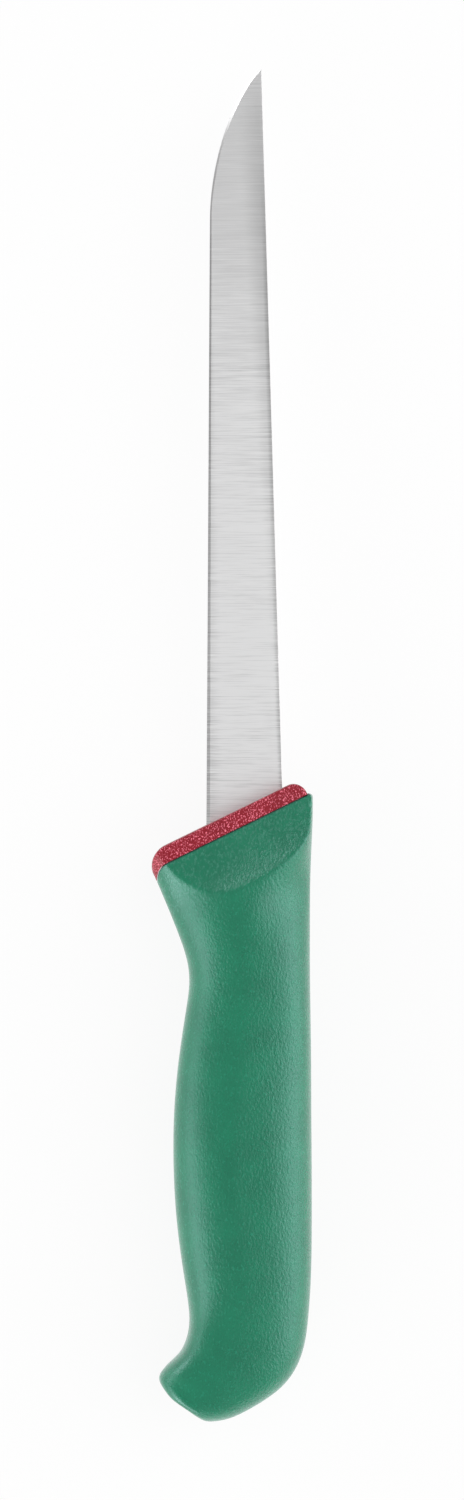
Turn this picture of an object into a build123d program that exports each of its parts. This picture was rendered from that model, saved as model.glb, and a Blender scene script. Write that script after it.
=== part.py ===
from build123d import *
import os
from math import cos, radians, sin, tan

# Fillet knife lying on its flat side. X runs across it towards the blade's spine and the
# handle's back, Y runs along it towards the tip, and Z points up from the table.
# Every shape is drawn from the construction point, where the blade's middle line meets
# the collar's front face, and is set down on the table at the end.

# Blade
blade_length = 163.6
heel_width = 16.9
spine_thickness = 1.9
tip_across = 3.7
belly_across = 7.7
belly_length = 33.6
belly_start_share = 0.45
belly_end_across_share = 0.148
belly_end_along_share = 0.1

# Grind: the flat side faces lean in from the spine to the edge, then a narrow bevel
heel_edge_thickness = 0.5
belly_edge_thickness = 0.24
edge_flat = 0.06
edge_angle = 20.0

# Tang, hidden in the handle
tang_end_gap = 44.4
tang_width = 11.0
tang_across = 0.8
tang_corner = 4.5
shoulder_depth = 7.5
tang_hole = 6.0
tang_hole_pitch = 25.0
tang_hole_count = 3
grind_end_depth = 0.8
seal_recess = 0.05

# Handle
handle_reach = 136.4
palm_depth = 30.8
handle_thickness = 22.8
side_flat_depth = 0.25
front_rake = 26.0
crown_share = 0.54
butt_round = 2.2

# Each station runs from the finger side to the back: both places as shares of the palm's
# depth across and of the handle's reach behind the collar's front line, then the share of
# the handle's thickness, how full the finger side's corners are, and how full the back's
# corners are up the side and over the top.
handle_station_shares = [
    ((-0.744, -0.020), (0.487, -0.020), 1.000, 0.510, 0.950, 0.870),
    ((-0.636, 0.050), (0.492, 0.049), 1.000, 0.470, 0.950, 0.900),
    ((-0.552, 0.104), (0.485, 0.104), 1.000, 0.420, 0.895, 0.900),
    ((-0.474, 0.157), (0.474, 0.166), 0.968, 0.475, 0.565, 0.376),
    ((-0.417, 0.203), (0.471, 0.235), 0.939, 0.515, 0.700, 0.432),
    ((-0.399, 0.242), (0.471, 0.305), 0.935, 0.525, 0.765, 0.580),
    ((-0.419, 0.280), (0.474, 0.375), 0.925, 0.520, 0.750, 0.690),
    ((-0.468, 0.3485), (0.479, 0.453), 0.940, 0.520, 0.720, 0.720),
    ((-0.508, 0.442), (0.481, 0.551), 0.980, 0.520, 0.700, 0.700),
    ((-0.511, 0.538), (0.484, 0.647), 1.000, 0.520, 0.700, 0.700),
    ((-0.484, 0.632), (0.484, 0.736), 0.985, 0.520, 0.700, 0.700),
    ((-0.435, 0.718), (0.479, 0.812), 0.950, 0.560, 0.690, 0.690),
    ((-0.399, 0.784), (0.461, 0.876), 0.910, 0.660, 0.680, 0.680),
    ((-0.411, 0.813), (0.425, 0.927), 0.880, 0.760, 0.670, 0.670),
    ((-0.461, 0.835), (0.312, 0.967), 0.820, 0.760, 0.650, 0.650),
    ((-0.560, 0.847), (0.049, 0.9835), 0.740, 0.680, 0.630, 0.630),
    ((-0.612, 0.8565), (-0.161, 0.980), 0.670, 0.600, 0.620, 0.620),
    ((-0.643, 0.864), (-0.338, 0.963), 0.620, 0.560, 0.600, 0.600),
]

# Collar and the scoops behind it
collar_thickness = 11.2
collar_depth = 3.6
nose_radius_share = 0.1656
nose_centre_share = 0.64
nose_turn = 75.0
back_corner_radius_share = 0.0974
back_corner_centre_share = 0.347
joint_bend_radius_share = 0.1364
joint_bend_centre_share = 0.674
joint_turn = 60.0
joint_round = 0.3
scoop_radius = 24.0
crease_round = 1.0
collar_edge_round = 0.6
upright_share = 0.02

# Core inside the grip
grip_wall = 3.0
core_stations = 15
lock_hole = 7.0
lock_hole_gap_shares = (0.18, 0.43)

# Length that overruns every shape, for cutting blocks
reach = 2 * (blade_length + handle_reach)

# Places that follow from the sizes above
tang_length = handle_reach - tang_end_gap
nose_radius = nose_radius_share * palm_depth
nose_centre = nose_centre_share * palm_depth
back_corner_radius = back_corner_radius_share * palm_depth
back_corner_centre = back_corner_centre_share * palm_depth
joint_bend_radius = joint_bend_radius_share * palm_depth
joint_bend_centre = joint_bend_centre_share * palm_depth

# Along the collar's front face: X runs along the face to the back, Y points ahead of it
rake = radians(front_rake)
collar_frame = Plane(origin=(0, 0, 0), x_dir=(cos(rake), sin(rake), 0), z_dir=(0, 0, 1))


def ahead_of(depth):
    """Everything ahead of the plane that lies a depth behind the collar's front face."""
    return collar_frame * Pos(0, reach / 2 - depth, 0) * Box(reach, reach, reach)


def side_at_depth(across, lean, depth):
    """The point where a blade side, given by its place at the heel and its lean, has a depth."""
    along = (sin(rake) * across - depth) / (cos(rake) - sin(rake) * lean)
    return (across + lean * along, along)


def belly_curve(tip, belly):
    """The edge's curve from the straight part up to the tip."""
    start = (belly[0], belly[1] + belly_start_share * belly_length)
    end = (
        tip[0] - belly_end_across_share * belly_length,
        tip[1] - belly_end_along_share * belly_length,
    )
    return Bezier(belly, start, end, tip), end


def blade_places():
    """The tip, the belly's start, and the leans of the spine and of the straight edge."""
    tip = (tip_across, blade_length)
    belly = (-belly_across, blade_length - belly_length)
    spine_lean = (tip_across - heel_width / 2) / blade_length
    edge_lean = (heel_width / 2 - belly_across) / (blade_length - belly_length)
    return tip, belly, spine_lean, edge_lean


def blade_stock():
    """The flat blank: blade outline, shoulders and tang."""
    tip, belly, spine_lean, edge_lean = blade_places()
    spine_end = side_at_depth(heel_width / 2, spine_lean, shoulder_depth)
    edge_end = side_at_depth(-heel_width / 2, edge_lean, shoulder_depth)
    curve, _ = belly_curve(tip, belly)
    outline = make_face([
        Line(tip, spine_end),
        Line(spine_end, edge_end),
        Line(edge_end, belly),
        curve,
    ])
    tang = Pos(tang_across, -tang_length / 2) * RectangleRounded(tang_width, tang_length, tang_corner)
    blank = extrude(outline + tang, amount=spine_thickness / 2, both=True)
    for i in range(tang_hole_count):
        along = -tang_length + tang_width + i * tang_hole_pitch
        blank -= Pos(tang_across, along) * Cylinder(tang_hole / 2, 2 * spine_thickness)
    return blank


def edge_prism():
    """The form whose walls lean in from the edge line, which leaves the bevels on a blank."""
    tip, belly, spine_lean, edge_lean = blade_places()
    margin = spine_thickness / tan(radians(edge_angle))
    curve, handle = belly_curve(tip, belly)
    heel = side_at_depth(-heel_width / 2, edge_lean, shoulder_depth + margin)
    slope = (tip[1] - handle[1]) / (tip[0] - handle[0])
    beyond = (tip[0] + 2 * margin, tip[1] + 2 * margin * slope)
    far_side = heel_width / 2 + 2 * margin
    outline = make_face([
        Line(heel, belly),
        curve,
        Line(tip, beyond),
        Line(beyond, (far_side, beyond[1])),
        Line((far_side, beyond[1]), (far_side, heel[1])),
        Line((far_side, heel[1]), heel),
    ])
    upper = extrude(
        Pos(0, 0, edge_flat / 2) * outline, amount=spine_thickness / 2, taper=90 - edge_angle
    )
    middle = extrude(outline, amount=edge_flat / 2, both=True)
    return upper + middle + mirror(upper, Plane.XY)


def above_grind(recess):
    """Everything above the flat ground side, set in by a recess."""
    tip, belly, _, _ = blade_places()
    spine_heel = Vector(heel_width / 2, 0, spine_thickness / 2)
    edge_heel = Vector(-heel_width / 2, 0, heel_edge_thickness / 2)
    edge_belly = Vector(belly[0], belly[1], belly_edge_thickness / 2)
    normal = (spine_heel - edge_heel).cross(edge_belly - edge_heel)
    side = Plane(origin=edge_heel, x_dir=edge_belly - edge_heel, z_dir=normal)
    return side * Pos(0, 0, reach / 2 - recess) * Box(reach, reach, reach)


def make_blade():
    """Ground blade with its tang. The flat faces end at the collar, in a shallow seal recess."""
    stock = blade_stock()
    ground = (stock & ahead_of(grind_end_depth)) & edge_prism()
    face_cut = above_grind(0)
    recess_cut = above_grind(seal_recess) - ahead_of(0)
    for cut in (face_cut, recess_cut):
        ground -= cut
        ground -= mirror(cut, Plane.XY)
    return ground + (stock - ahead_of(grind_end_depth))


def outline_point(shares):
    """A point of the handle's outline, from its shares across and behind the collar's front."""
    across = shares[0] * palm_depth
    return Vector(across, across * tan(rake) - shares[1] * handle_reach, 0)


def section_wire(station, inset):
    """One closed section of the handle, set in by an inset all round."""
    finger_shares, back_shares, thickness_share, finger_fullness, back_rise, back_spread = station
    finger = outline_point(finger_shares)
    back = outline_point(back_shares)
    direction = (back - finger).normalized()
    finger += direction * inset
    back -= direction * inset
    crown_height = handle_thickness / 2 + side_flat_depth
    height = Vector(0, 0, thickness_share * crown_height - inset)
    crown = finger + (back - finger) * crown_share
    edges = []
    halves = (
        (finger, finger_fullness, finger_fullness, 1),
        (back, back_rise, back_spread, -1),
    )
    for side, rise, spread, turn in halves:
        for up in (turn, -turn):
            side_handle = side + height * up * rise
            crown_handle = crown + height * up + (side - crown) * spread
            quarter = [side, side_handle, crown_handle, crown + height * up]
            if up != turn:
                quarter.reverse()
            edges.append(Bezier(*quarter))
    upper_finger, lower_finger, lower_back, upper_back = edges
    return Wire([upper_finger, upper_back, lower_back, lower_finger])


def handle_form(inset, stations):
    """The handle's smooth form before its front is cut, set in by an inset."""
    return Solid.make_loft([section_wire(s, inset) for s in handle_station_shares[:stations]])


def scoops(extra):
    """The two hollows behind the collar, one on each flat side, grown by an extra depth."""
    axis_height = collar_thickness / 2 + scoop_radius
    roll = Rot(0, 90, 0) * Cylinder(scoop_radius + extra, reach)
    return [collar_frame * Pos(0, 0, up * axis_height) * roll for up in (1, -1)]


def collar_outline():
    """The collar seen from above: straight front, round nose and round back corner."""
    turn = radians(nose_turn)
    nose_end = (
        -nose_centre - nose_radius * sin(turn),
        -nose_radius * (1 - cos(turn)),
    )
    outside = (nose_end[0] - palm_depth * cos(turn), nose_end[1] - palm_depth * sin(turn))
    back_end = back_corner_centre + back_corner_radius
    outline = make_face([
        Line((-nose_centre, 0), (back_corner_centre, 0)),
        RadiusArc((back_corner_centre, 0), (back_end, -back_corner_radius), back_corner_radius),
        Line((back_end, -back_corner_radius), (back_end, outside[1])),
        Line((back_end, outside[1]), outside),
        Line(outside, nose_end),
        RadiusArc(nose_end, (-nose_centre, 0), nose_radius),
    ])
    return collar_frame * extrude(outline, amount=reach, both=True)


def ahead_of_joint():
    """Everything ahead of the joint between collar and grip, which bends back at the nose."""
    turn = radians(joint_turn)
    start = (-joint_bend_centre, -collar_depth)
    end = (
        -joint_bend_centre - joint_bend_radius * sin(turn),
        -collar_depth - joint_bend_radius * (1 - cos(turn)),
    )
    outside = (end[0] - palm_depth * cos(turn), end[1] - palm_depth * sin(turn))
    outline = make_face([
        Line((reach, -collar_depth), start),
        RadiusArc(start, end, -joint_bend_radius),
        Line(end, outside),
        Line(outside, (outside[0], reach)),
        Line((outside[0], reach), (reach, reach)),
        Line((reach, reach), (reach, -collar_depth)),
    ])
    return collar_frame * extrude(outline, amount=reach, both=True)


def shared_edges(faces, others):
    """The edges where a face of one list meets a face of the other."""
    other_edges = [edge for face in others for edge in face.edges()]
    own_edges = [edge for face in faces for edge in face.edges()]
    return [edge for edge in own_edges if any(edge.is_same(other) for other in other_edges)]


def front_rim(shape):
    """The edges round the upright faces that look ahead or to the side."""
    fronts, skins = [], []
    for face in shape.faces():
        normal = face.normal_at()
        if abs(normal.Z) > upright_share:
            skins.append(face)
        elif normal.dot(collar_frame.y_dir) > -upright_share:
            fronts.append(face)
    return shared_edges(fronts, skins)


def handle_body():
    """The whole handle with its scoops, before it is divided into collar, core and grip."""
    form = handle_form(0, len(handle_station_shares))
    end_face = form.faces().filter_by(GeomType.PLANE).sort_by(Axis.Y)[0]
    body = form.fillet(butt_round, end_face.edges()) - ahead_of(0)
    for scoop in scoops(0):
        body -= scoop
    return body


def make_core(body, blade):
    """First moulding round the tang: the collar in front, and the core inside the grip."""
    collar = (body & ahead_of_joint()) & collar_outline()
    collar = collar.fillet(collar_edge_round, front_rim(collar))
    core = handle_form(grip_wall, core_stations) - ahead_of_joint()
    for scoop in scoops(grip_wall):
        core -= scoop
    for share in lock_hole_gap_shares:
        along = -tang_length - share * tang_end_gap
        core -= Pos(tang_across, along) * Cylinder(lock_hole / 2, 2 * handle_thickness)
    return collar + core - blade


def make_grip(body, core, blade):
    """Second moulding: the outer skin over the core, which also fills the core's lock holes."""
    creases = shared_edges(
        body.faces().filter_by(GeomType.CYLINDER), body.faces().filter_by(GeomType.BSPLINE)
    )
    between_flats = Box(reach, reach, handle_thickness)
    skin = (body.fillet(crease_round, creases) & between_flats) - ahead_of_joint()
    skin = skin.fillet(joint_round, front_rim(skin))
    return skin - core - blade


def set_down(shapes):
    """The shapes moved so that the origin lies under the middle of the knife, on the table.
    The knife lies on the grip's flat side."""
    boxes = [shape.bounding_box() for shape in shapes]
    across = (min(box.min.X for box in boxes) + max(box.max.X for box in boxes)) / 2
    along = (min(box.min.Y for box in boxes) + max(box.max.Y for box in boxes)) / 2
    return [Pos(-across, -along, handle_thickness / 2) * shape for shape in shapes]


blade = make_blade()
body = handle_body()
core = make_core(body, blade)
grip = make_grip(body, core, blade)

os.makedirs("parts", exist_ok=True)
for name, shape in zip(("blade", "handle_core", "grip"), set_down((blade, core, grip))):
    export_step(shape, f"parts/{name}.step")
    print(name, shape.is_valid, round(shape.volume), shape.bounding_box())
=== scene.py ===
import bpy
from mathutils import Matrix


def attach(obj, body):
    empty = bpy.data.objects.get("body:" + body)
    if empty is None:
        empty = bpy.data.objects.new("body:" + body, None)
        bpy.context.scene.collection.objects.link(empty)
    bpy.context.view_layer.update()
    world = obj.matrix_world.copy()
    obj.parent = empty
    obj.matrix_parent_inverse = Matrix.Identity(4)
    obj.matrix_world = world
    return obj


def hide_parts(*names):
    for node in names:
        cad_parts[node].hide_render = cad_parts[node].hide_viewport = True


bl_info = {
    "name": "Fillet knife",
    "version": (1, 0, 0),
    "blender": (4, 5, 0),
    "location": "3D View > Sidebar > Knife",
    "description": "Makes a fillet knife with a ground blade, a collar and a moulded grip",
    "category": "Add Mesh",
}

from math import cos, pi, radians, sin, tan

import bmesh
import bpy
import numpy as np
from bpy.props import FloatProperty, FloatVectorProperty, IntProperty, PointerProperty

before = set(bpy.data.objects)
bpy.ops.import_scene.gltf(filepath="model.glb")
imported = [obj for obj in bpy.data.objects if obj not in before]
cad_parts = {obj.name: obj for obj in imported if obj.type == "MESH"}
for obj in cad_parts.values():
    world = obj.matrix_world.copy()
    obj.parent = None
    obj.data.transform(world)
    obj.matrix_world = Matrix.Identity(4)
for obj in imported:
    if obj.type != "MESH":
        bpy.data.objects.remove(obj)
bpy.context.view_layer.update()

mm = 0.001


# Settings: the sizes and colours that the pieces are worked out from
def length_setting(name, default, description):
    """A length in the panel."""
    return FloatProperty(name=name, description=description, default=default, unit="LENGTH")


def angle_setting(name, default, description):
    """An angle in the panel."""
    return FloatProperty(
        name=name, description=description, default=default, subtype="ANGLE", unit="ROTATION"
    )


def point_setting(name, default, description):
    """A place in the panel."""
    return FloatVectorProperty(
        name=name, description=description, default=default, subtype="TRANSLATION", unit="LENGTH"
    )


def colour_setting(name, default, description):
    """A colour in the panel."""
    return FloatVectorProperty(
        name=name, description=description, default=default, subtype="COLOR", min=0, max=1
    )


BLADE_LENGTH = 163.6 * mm
TIP_ACROSS = 3.7 * mm


def blade_root():
    """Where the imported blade's middle line meets the collar's front, measured from its tip."""
    corners = [vertex.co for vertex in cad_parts["blade"].data.vertices]
    tip = max(corners, key=lambda corner: corner.y)
    heights = [corner.z for corner in corners]
    return tip.x - TIP_ACROSS, tip.y - BLADE_LENGTH, (min(heights) + max(heights)) / 2


class KnifeSettings(bpy.types.PropertyGroup):
    """Where the knife lies, and how its collar is turned."""

    place: point_setting(
        "Place", blade_root(), "Point where the blade's middle line meets the collar's front"
    )
    rake: angle_setting("Rake", radians(26), "Slant of the collar's front across the knife")


class BladeSettings(bpy.types.PropertyGroup):
    """Sizes and colour of the blade."""

    length: length_setting("Length", BLADE_LENGTH, "From the collar to the tip")
    heel_width: length_setting("Heel width", 16.9 * mm, "Width at the collar")
    tip_across: length_setting(
        "Tip across", TIP_ACROSS, "How far the tip lies to the spine's side of the middle line"
    )
    belly_across: length_setting(
        "Belly across",
        7.7 * mm,
        "How far the edge lies from the middle line where the belly starts",
    )
    belly_length: length_setting("Belly length", 33.6 * mm, "Length of the curved end")
    spine_thickness: length_setting(
        "Spine thickness", 1.9 * mm, "Thickness of the spine at the collar"
    )
    heel_edge_thickness: length_setting(
        "Heel edge thickness", 0.5 * mm, "Thickness behind the bevel at the collar"
    )
    belly_edge_thickness: length_setting(
        "Belly edge thickness", 0.24 * mm, "Thickness behind the bevel where the belly starts"
    )
    edge_angle: angle_setting("Edge angle", radians(20), "Angle of each bevel to the middle plane")
    tip_edge_angle: angle_setting(
        "Tip edge angle", radians(34), "Angle of each bevel near the tip"
    )
    spine_round: length_setting("Spine round", 0.06 * mm, "Radius of the spine's broken corners")
    heel_depth: length_setting(
        "Heel depth", 7.5 * mm, "How far the blade's heel reaches into the collar"
    )
    apex_length: length_setting(
        "Apex length", 10 * mm, "Length over which the blade thins out to its tip"
    )
    apex_thinning: FloatProperty(
        name="Apex thinning",
        description="Share of the thickness that is lost at the tip",
        default=0.75,
        min=0,
        max=1,
        subtype="FACTOR",
    )
    rows: IntProperty(name="Rows", description="Rows of faces along the blade", default=260, min=20)
    colour: colour_setting("Steel", (0.9, 0.9, 0.903), "Colour of the brushed steel")


class HandleSettings(bpy.types.PropertyGroup):
    """Sizes and colours of the collar and the grip."""

    reach: length_setting("Reach", 136.4 * mm, "Length scale of the grip behind the collar")
    palm_depth: length_setting(
        "Palm depth", 30.8 * mm, "Depth of the grip from its back to the finger side"
    )
    thickness: length_setting("Thickness", 22.8 * mm, "Thickness of the grip")
    collar_thickness: length_setting(
        "Collar thickness", 11.2 * mm, "Thickness of the collar at its front"
    )
    collar_depth: length_setting("Collar depth", 3.6 * mm, "Depth of the collar that shows")
    scoop_radius: length_setting(
        "Scoop radius", 24 * mm, "Radius of the hollows behind the collar"
    )
    rows: IntProperty(name="Rows", description="Rows of faces along the grip", default=250, min=40)
    columns: IntProperty(
        name="Columns", description="Faces round each half of the grip", default=80, min=24
    )
    grip_colour: colour_setting("Grip", (0.002, 0.166, 0.08), "Colour of the grip's plastic")
    collar_colour: colour_setting(
        "Collar", (0.265, 0.004, 0.016), "Colour of the collar's plastic"
    )


class StudioSettings(bpy.types.PropertyGroup):
    """Camera, floor and light."""

    lens: FloatProperty(
        name="Lens", description="Focal length", default=120, subtype="DISTANCE_CAMERA"
    )
    view_height: length_setting(
        "View height", 332.9 * mm, "Length of the camera's view at the knife's middle plane"
    )
    aim: point_setting(
        "Aim",
        (-0.083 * mm, -0.959 * mm, 0),
        "Point of the floor that the camera looks straight down on",
    )
    ceiling: FloatProperty(
        name="Ceiling", description="Brightness of the studio's ceiling", default=0.45, min=0
    )


# Helpers that build node trees
class Sum:
    """A node's output that can stand in sums: each sum adds a Math node to its tree."""

    def __init__(self, tree, output):
        self.tree = tree
        self.output = output

    def maths(self, operation, *others, swap=False):
        node = self.tree.nodes.new("ShaderNodeMath")
        node.operation = operation
        values = [self, *others]
        if swap:
            values.reverse()
        for socket, value in zip(node.inputs, values):
            join(self.tree, value, socket)
        return Sum(self.tree, node.outputs[0])

    def __add__(self, other):
        return self.maths("ADD", other)

    def __sub__(self, other):
        return self.maths("SUBTRACT", other)

    def __rsub__(self, other):
        return self.maths("SUBTRACT", other, swap=True)

    def __mul__(self, other):
        return self.maths("MULTIPLY", other)

    def __truediv__(self, other):
        return self.maths("DIVIDE", other)

    def least(self, other):
        return self.maths("MINIMUM", other)

    def most(self, other):
        return self.maths("MAXIMUM", other)

    def within(self, low, high):
        return self.most(low).least(high)

    def tangent(self):
        return self.maths("TANGENT")

    def sine(self):
        return self.maths("SINE")

    def cosine(self):
        return self.maths("COSINE")


def join(tree, value, socket):
    """Feeds a socket from an output, or sets its value."""
    if isinstance(value, Sum):
        tree.links.new(value.output, socket)
    elif isinstance(value, bpy.types.NodeSocket):
        tree.links.new(value, socket)
    else:
        socket.default_value = value


def add_node(tree, kind, inputs=None, **settings):
    """A new node with its settings, and its inputs by name or number."""
    node = tree.nodes.new(kind)
    for name, value in settings.items():
        setattr(node, name, value)
    for name, value in (inputs or {}).items():
        join(tree, value, node.inputs[name])
    return node


def point(tree, x, y, z=0.0):
    """A vector from three values."""
    return add_node(tree, "ShaderNodeCombineXYZ", {0: x, 1: y, 2: z}).outputs[0]


def parts_of(tree, vector):
    """A vector's three values."""
    node = add_node(tree, "ShaderNodeSeparateXYZ", {0: vector})
    return [Sum(tree, output) for output in node.outputs]


# Materials
NOISE_MEAN = 0.5


def new_material(name, **constants):
    """A material with its Principled shader, whose constant inputs are set on the sockets."""
    material = bpy.data.materials.new(name)
    material.use_nodes = True
    tree = material.node_tree
    shader = tree.nodes["Principled BSDF"]
    for socket, value in constants.items():
        shader.inputs[socket].default_value = value
    return material, tree, shader


def object_coordinates(tree):
    """The object's own coordinates, as three values."""
    return parts_of(tree, add_node(tree, "ShaderNodeTexCoord").outputs["Object"])


def mesh_attribute(tree, name):
    """A number that the piece's own mesh carries."""
    return Sum(tree, add_node(tree, "ShaderNodeAttribute", attribute_name=name).outputs["Fac"])


def noise_over(tree, cells, detail=3.0, roughness=0.5):
    """Noise over the object's own coordinates, with so many cells a metre along each axis."""
    coordinates = add_node(tree, "ShaderNodeTexCoord")
    mapping = add_node(
        tree, "ShaderNodeMapping", {"Vector": coordinates.outputs["Object"], "Scale": cells}
    )
    noise = add_node(
        tree,
        "ShaderNodeTexNoise",
        {"Vector": mapping.outputs[0], "Scale": 1.0, "Detail": detail, "Roughness": roughness},
    )
    return Sum(tree, noise.outputs[0])


def colour_ramp(tree, value, stops):
    """A ramp of colours over a value."""
    ramp = add_node(tree, "ShaderNodeValToRGB", {0: value})
    elements = ramp.color_ramp.elements
    while len(elements) < len(stops):
        elements.new(1.0)
    for element, (place, colour) in zip(elements, stops):
        element.position = place
        element.color = (*colour, 1)
    return ramp.outputs[0]


def tinted(colour, factor):
    """A colour made lighter or darker."""
    return tuple(min(1.0, part * factor) for part in colour)


def bump_from(tree, shader, height, distance, strength=1.0):
    """Tilts the normals of the shader and its coat by a height."""
    inputs = {"Height": height, "Strength": strength, "Distance": distance}
    bump = add_node(tree, "ShaderNodeBump", inputs).outputs[0]
    join(tree, bump, shader.inputs["Normal"])
    join(tree, bump, shader.inputs["Coat Normal"])


def smooth_step(tree, value, none, full):
    """A value's smooth rise from nought at one place to one at another."""
    node = add_node(
        tree,
        "ShaderNodeMapRange",
        {"Value": value, "From Min": none, "From Max": full},
        interpolation_type="SMOOTHSTEP",
    )
    return Sum(tree, node.outputs[0])


def mixed(tree, factor, first, second):
    """Two colours mixed by a factor."""
    mix = add_node(tree, "ShaderNodeMix", data_type="RGBA")
    for socket, value in zip((0, 6, 7), (factor, first, second)):
        join(tree, value, mix.inputs[socket])
    return mix.outputs[2]


# Brushed steel. Cells are counted across, along and through the blade, and scratches show
# where their noise passes from a pair's first value to its second.
STROKES = {"cells": (80, 4800, 100), "detail": 3, "roughness": 0.7}
FINE_STROKES = {"cells": (120, 5400, 300), "detail": 1}
SCRATCHES = {"cells": (184, 5520, 230), "detail": 2, "roughness": 0.6}
CLOUDS = {"cells": (40, 64, 40), "detail": 2}
STROKE_SHARE = 0.7
LIGHT_SCRATCHES = (0.62, 0.7)
DARK_SCRATCHES = (0.38, 0.3)
# A pair named FADE says where something is gone and where it is full, as shares of the
# blade's length from the collar. Depths are shares of the steel's light, and each shade is
# painted shade, a share of that light taken off the steel's colour.
MIDDLE_FADE = (0.8, 0.55)
HEEL_FADE = (0.35, 0.0)
STROKE_DEPTH = 0.36
STROKE_DEPTH_IN_MIDDLE = 0.54
STROKE_DEPTH_AT_HEEL = 0.576
SCRATCH_DEPTH = 0.03
SCRATCH_DEPTH_IN_MIDDLE = 0.04
CLOUD_DEPTH = 0.12
STEEL_LIGHT = 1.01
# painted shade: the steel's colour darkens towards the tip
TIP_FADE = (0.28, 0.95)
TIP_SHADE = 0.2
# painted shade: a thin darker line right at the spine, gone at the first width from it and full at
# the second
SPINE_LINE_GONE, SPINE_LINE_FULL = 1.2 * mm, 0.1 * mm
# The other pairs are values at the heel and at the tip, with an even change between them.
# painted shade: a darker band along the spine, by its width and its shade
SPINE_BAND = (0.8 * mm, 6.8 * mm)
SPINE_SHADE = (0.1, 0.2)
SPINE_SHADE_FADE = (1.1, 0.8)
SPINE_LINE_SHADE = (0.2, 0.3)
SPINE_LINE_FADE = (0.95, 0.6)
# painted shade: a darker band along the edge
EDGE_BAND = (4.5 * mm, 0.5 * mm)
EDGE_SHADE = 0.16
EDGE_SHADE_FADE = (0.85, 0.6)
# painted dark reflection on the bevel
BEVEL_SHADE = (0.05, 0.27)
BEVEL_SHADE_FADE = (0.88, 0.72)
STEEL_ROUGHNESS = 0.43
STROKE_ROUGHNESS = 0.14
BEVEL_POLISH = 0.12
STROKE_RELIEF = 0.012 * mm
STROKE_RELIEF_STRENGTH = 0.5


def steel_material(settings, place):
    """Stainless steel brushed across the blade, with painted shade towards the tip, the spine and
    the edge, and on the bevel.
    """
    material, tree, shader = new_material("brushed_steel", Metallic=1.0, Anisotropic=0.2)
    x, y, _ = object_coordinates(tree)
    half_width = settings.heel_width / 2
    from_heel = (y - place[1]) / settings.length
    from_spine = place[0] + half_width - x - from_heel * (half_width - settings.tip_across)
    from_edge = x - (place[0] - half_width)
    bevel = mesh_attribute(tree, "bevel")

    def graded(at_heel, at_tip):
        """A value that changes evenly along the blade."""
        return from_heel * (at_tip - at_heel) + at_heel

    strokes = noise_over(tree, **STROKES) * STROKE_SHARE
    strokes = strokes + noise_over(tree, **FINE_STROKES) * (1 - STROKE_SHARE)
    scratches = noise_over(tree, **SCRATCHES)
    scratches = smooth_step(tree, scratches, *LIGHT_SCRATCHES) - smooth_step(
        tree, scratches, *DARK_SCRATCHES
    )
    middle = smooth_step(tree, from_heel, *MIDDLE_FADE)
    near_heel = smooth_step(tree, from_heel, *HEEL_FADE)
    depth = middle * STROKE_DEPTH_IN_MIDDLE + near_heel * STROKE_DEPTH_AT_HEEL + STROKE_DEPTH
    tone = (strokes - NOISE_MEAN) * depth + STEEL_LIGHT
    tone = tone + (noise_over(tree, **CLOUDS) - NOISE_MEAN) * CLOUD_DEPTH
    tone = tone + scratches * (middle * SCRATCH_DEPTH_IN_MIDDLE + SCRATCH_DEPTH)
    # painted shade towards the tip
    tone = tone - smooth_step(tree, from_heel, *TIP_FADE) * TIP_SHADE

    # painted shade, each fading out near the tip: a band and a thin line along the spine, a band
    # along the edge, and the bevel are darkened
    spine_band = smooth_step(tree, from_spine / graded(*SPINE_BAND), 1.0, 0.0)
    spine_line = smooth_step(tree, from_spine, SPINE_LINE_GONE, SPINE_LINE_FULL)
    edge_band = smooth_step(tree, from_edge / graded(*EDGE_BAND), 1.0, 0.0)
    for shade, fade in (
        (spine_band * graded(*SPINE_SHADE), SPINE_SHADE_FADE),
        (spine_line * graded(*SPINE_LINE_SHADE), SPINE_LINE_FADE),
        # painted shade along the edge
        (edge_band * EDGE_SHADE, EDGE_SHADE_FADE),
        # painted dark reflection on the bevel
        (bevel * graded(*BEVEL_SHADE), BEVEL_SHADE_FADE),
    ):
        tone = tone - shade * smooth_step(tree, from_heel, *fade)
    colour = mixed(tree, tone.within(0.0, 1.0), (0, 0, 0, 1), (*settings.colour, 1))
    join(tree, colour, shader.inputs["Base Color"])

    brushed = strokes * (1 - bevel)
    roughness = brushed * STROKE_ROUGHNESS - bevel * BEVEL_POLISH + STEEL_ROUGHNESS
    join(tree, roughness, shader.inputs["Roughness"])
    bump_from(tree, shader, brushed, STROKE_RELIEF, STROKE_RELIEF_STRENGTH)
    join(tree, point(tree, 1.0, 0.0), shader.inputs["Tangent"])
    return material


# Moulded plastics. Specks show where the grain's noise passes from a pair's first value to its
# second. Reaches are places along the knife, behind the collar's front.
PLASTIC_CLOUDS = {"cells": (160, 160, 160), "detail": 3}
CLOUD_TINTS = ((0.3, 0.9), (0.7, 1.1))
PLASTIC_COAT = {"Coat IOR": 1.35, "Coat Roughness": 0.3, "Sheen Roughness": 0.5}
GRAIN_STRETCH = (1, 0.6, 1)
GRAIN_ROUGHNESS = 0.2
RELIEF_AT_FINGERS = 0.55
RELIEF_GAIN_PLACES = (-8 * mm, 6 * mm)
SCOOP_SPECK_COLOUR = (0.03, 0.2, 0.12)
SCOOP_SPECK_PLACES = (0.48, 0.62)
SCOOP_SPECK_REACH = (-17.2 * mm, -15.2 * mm)
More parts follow.
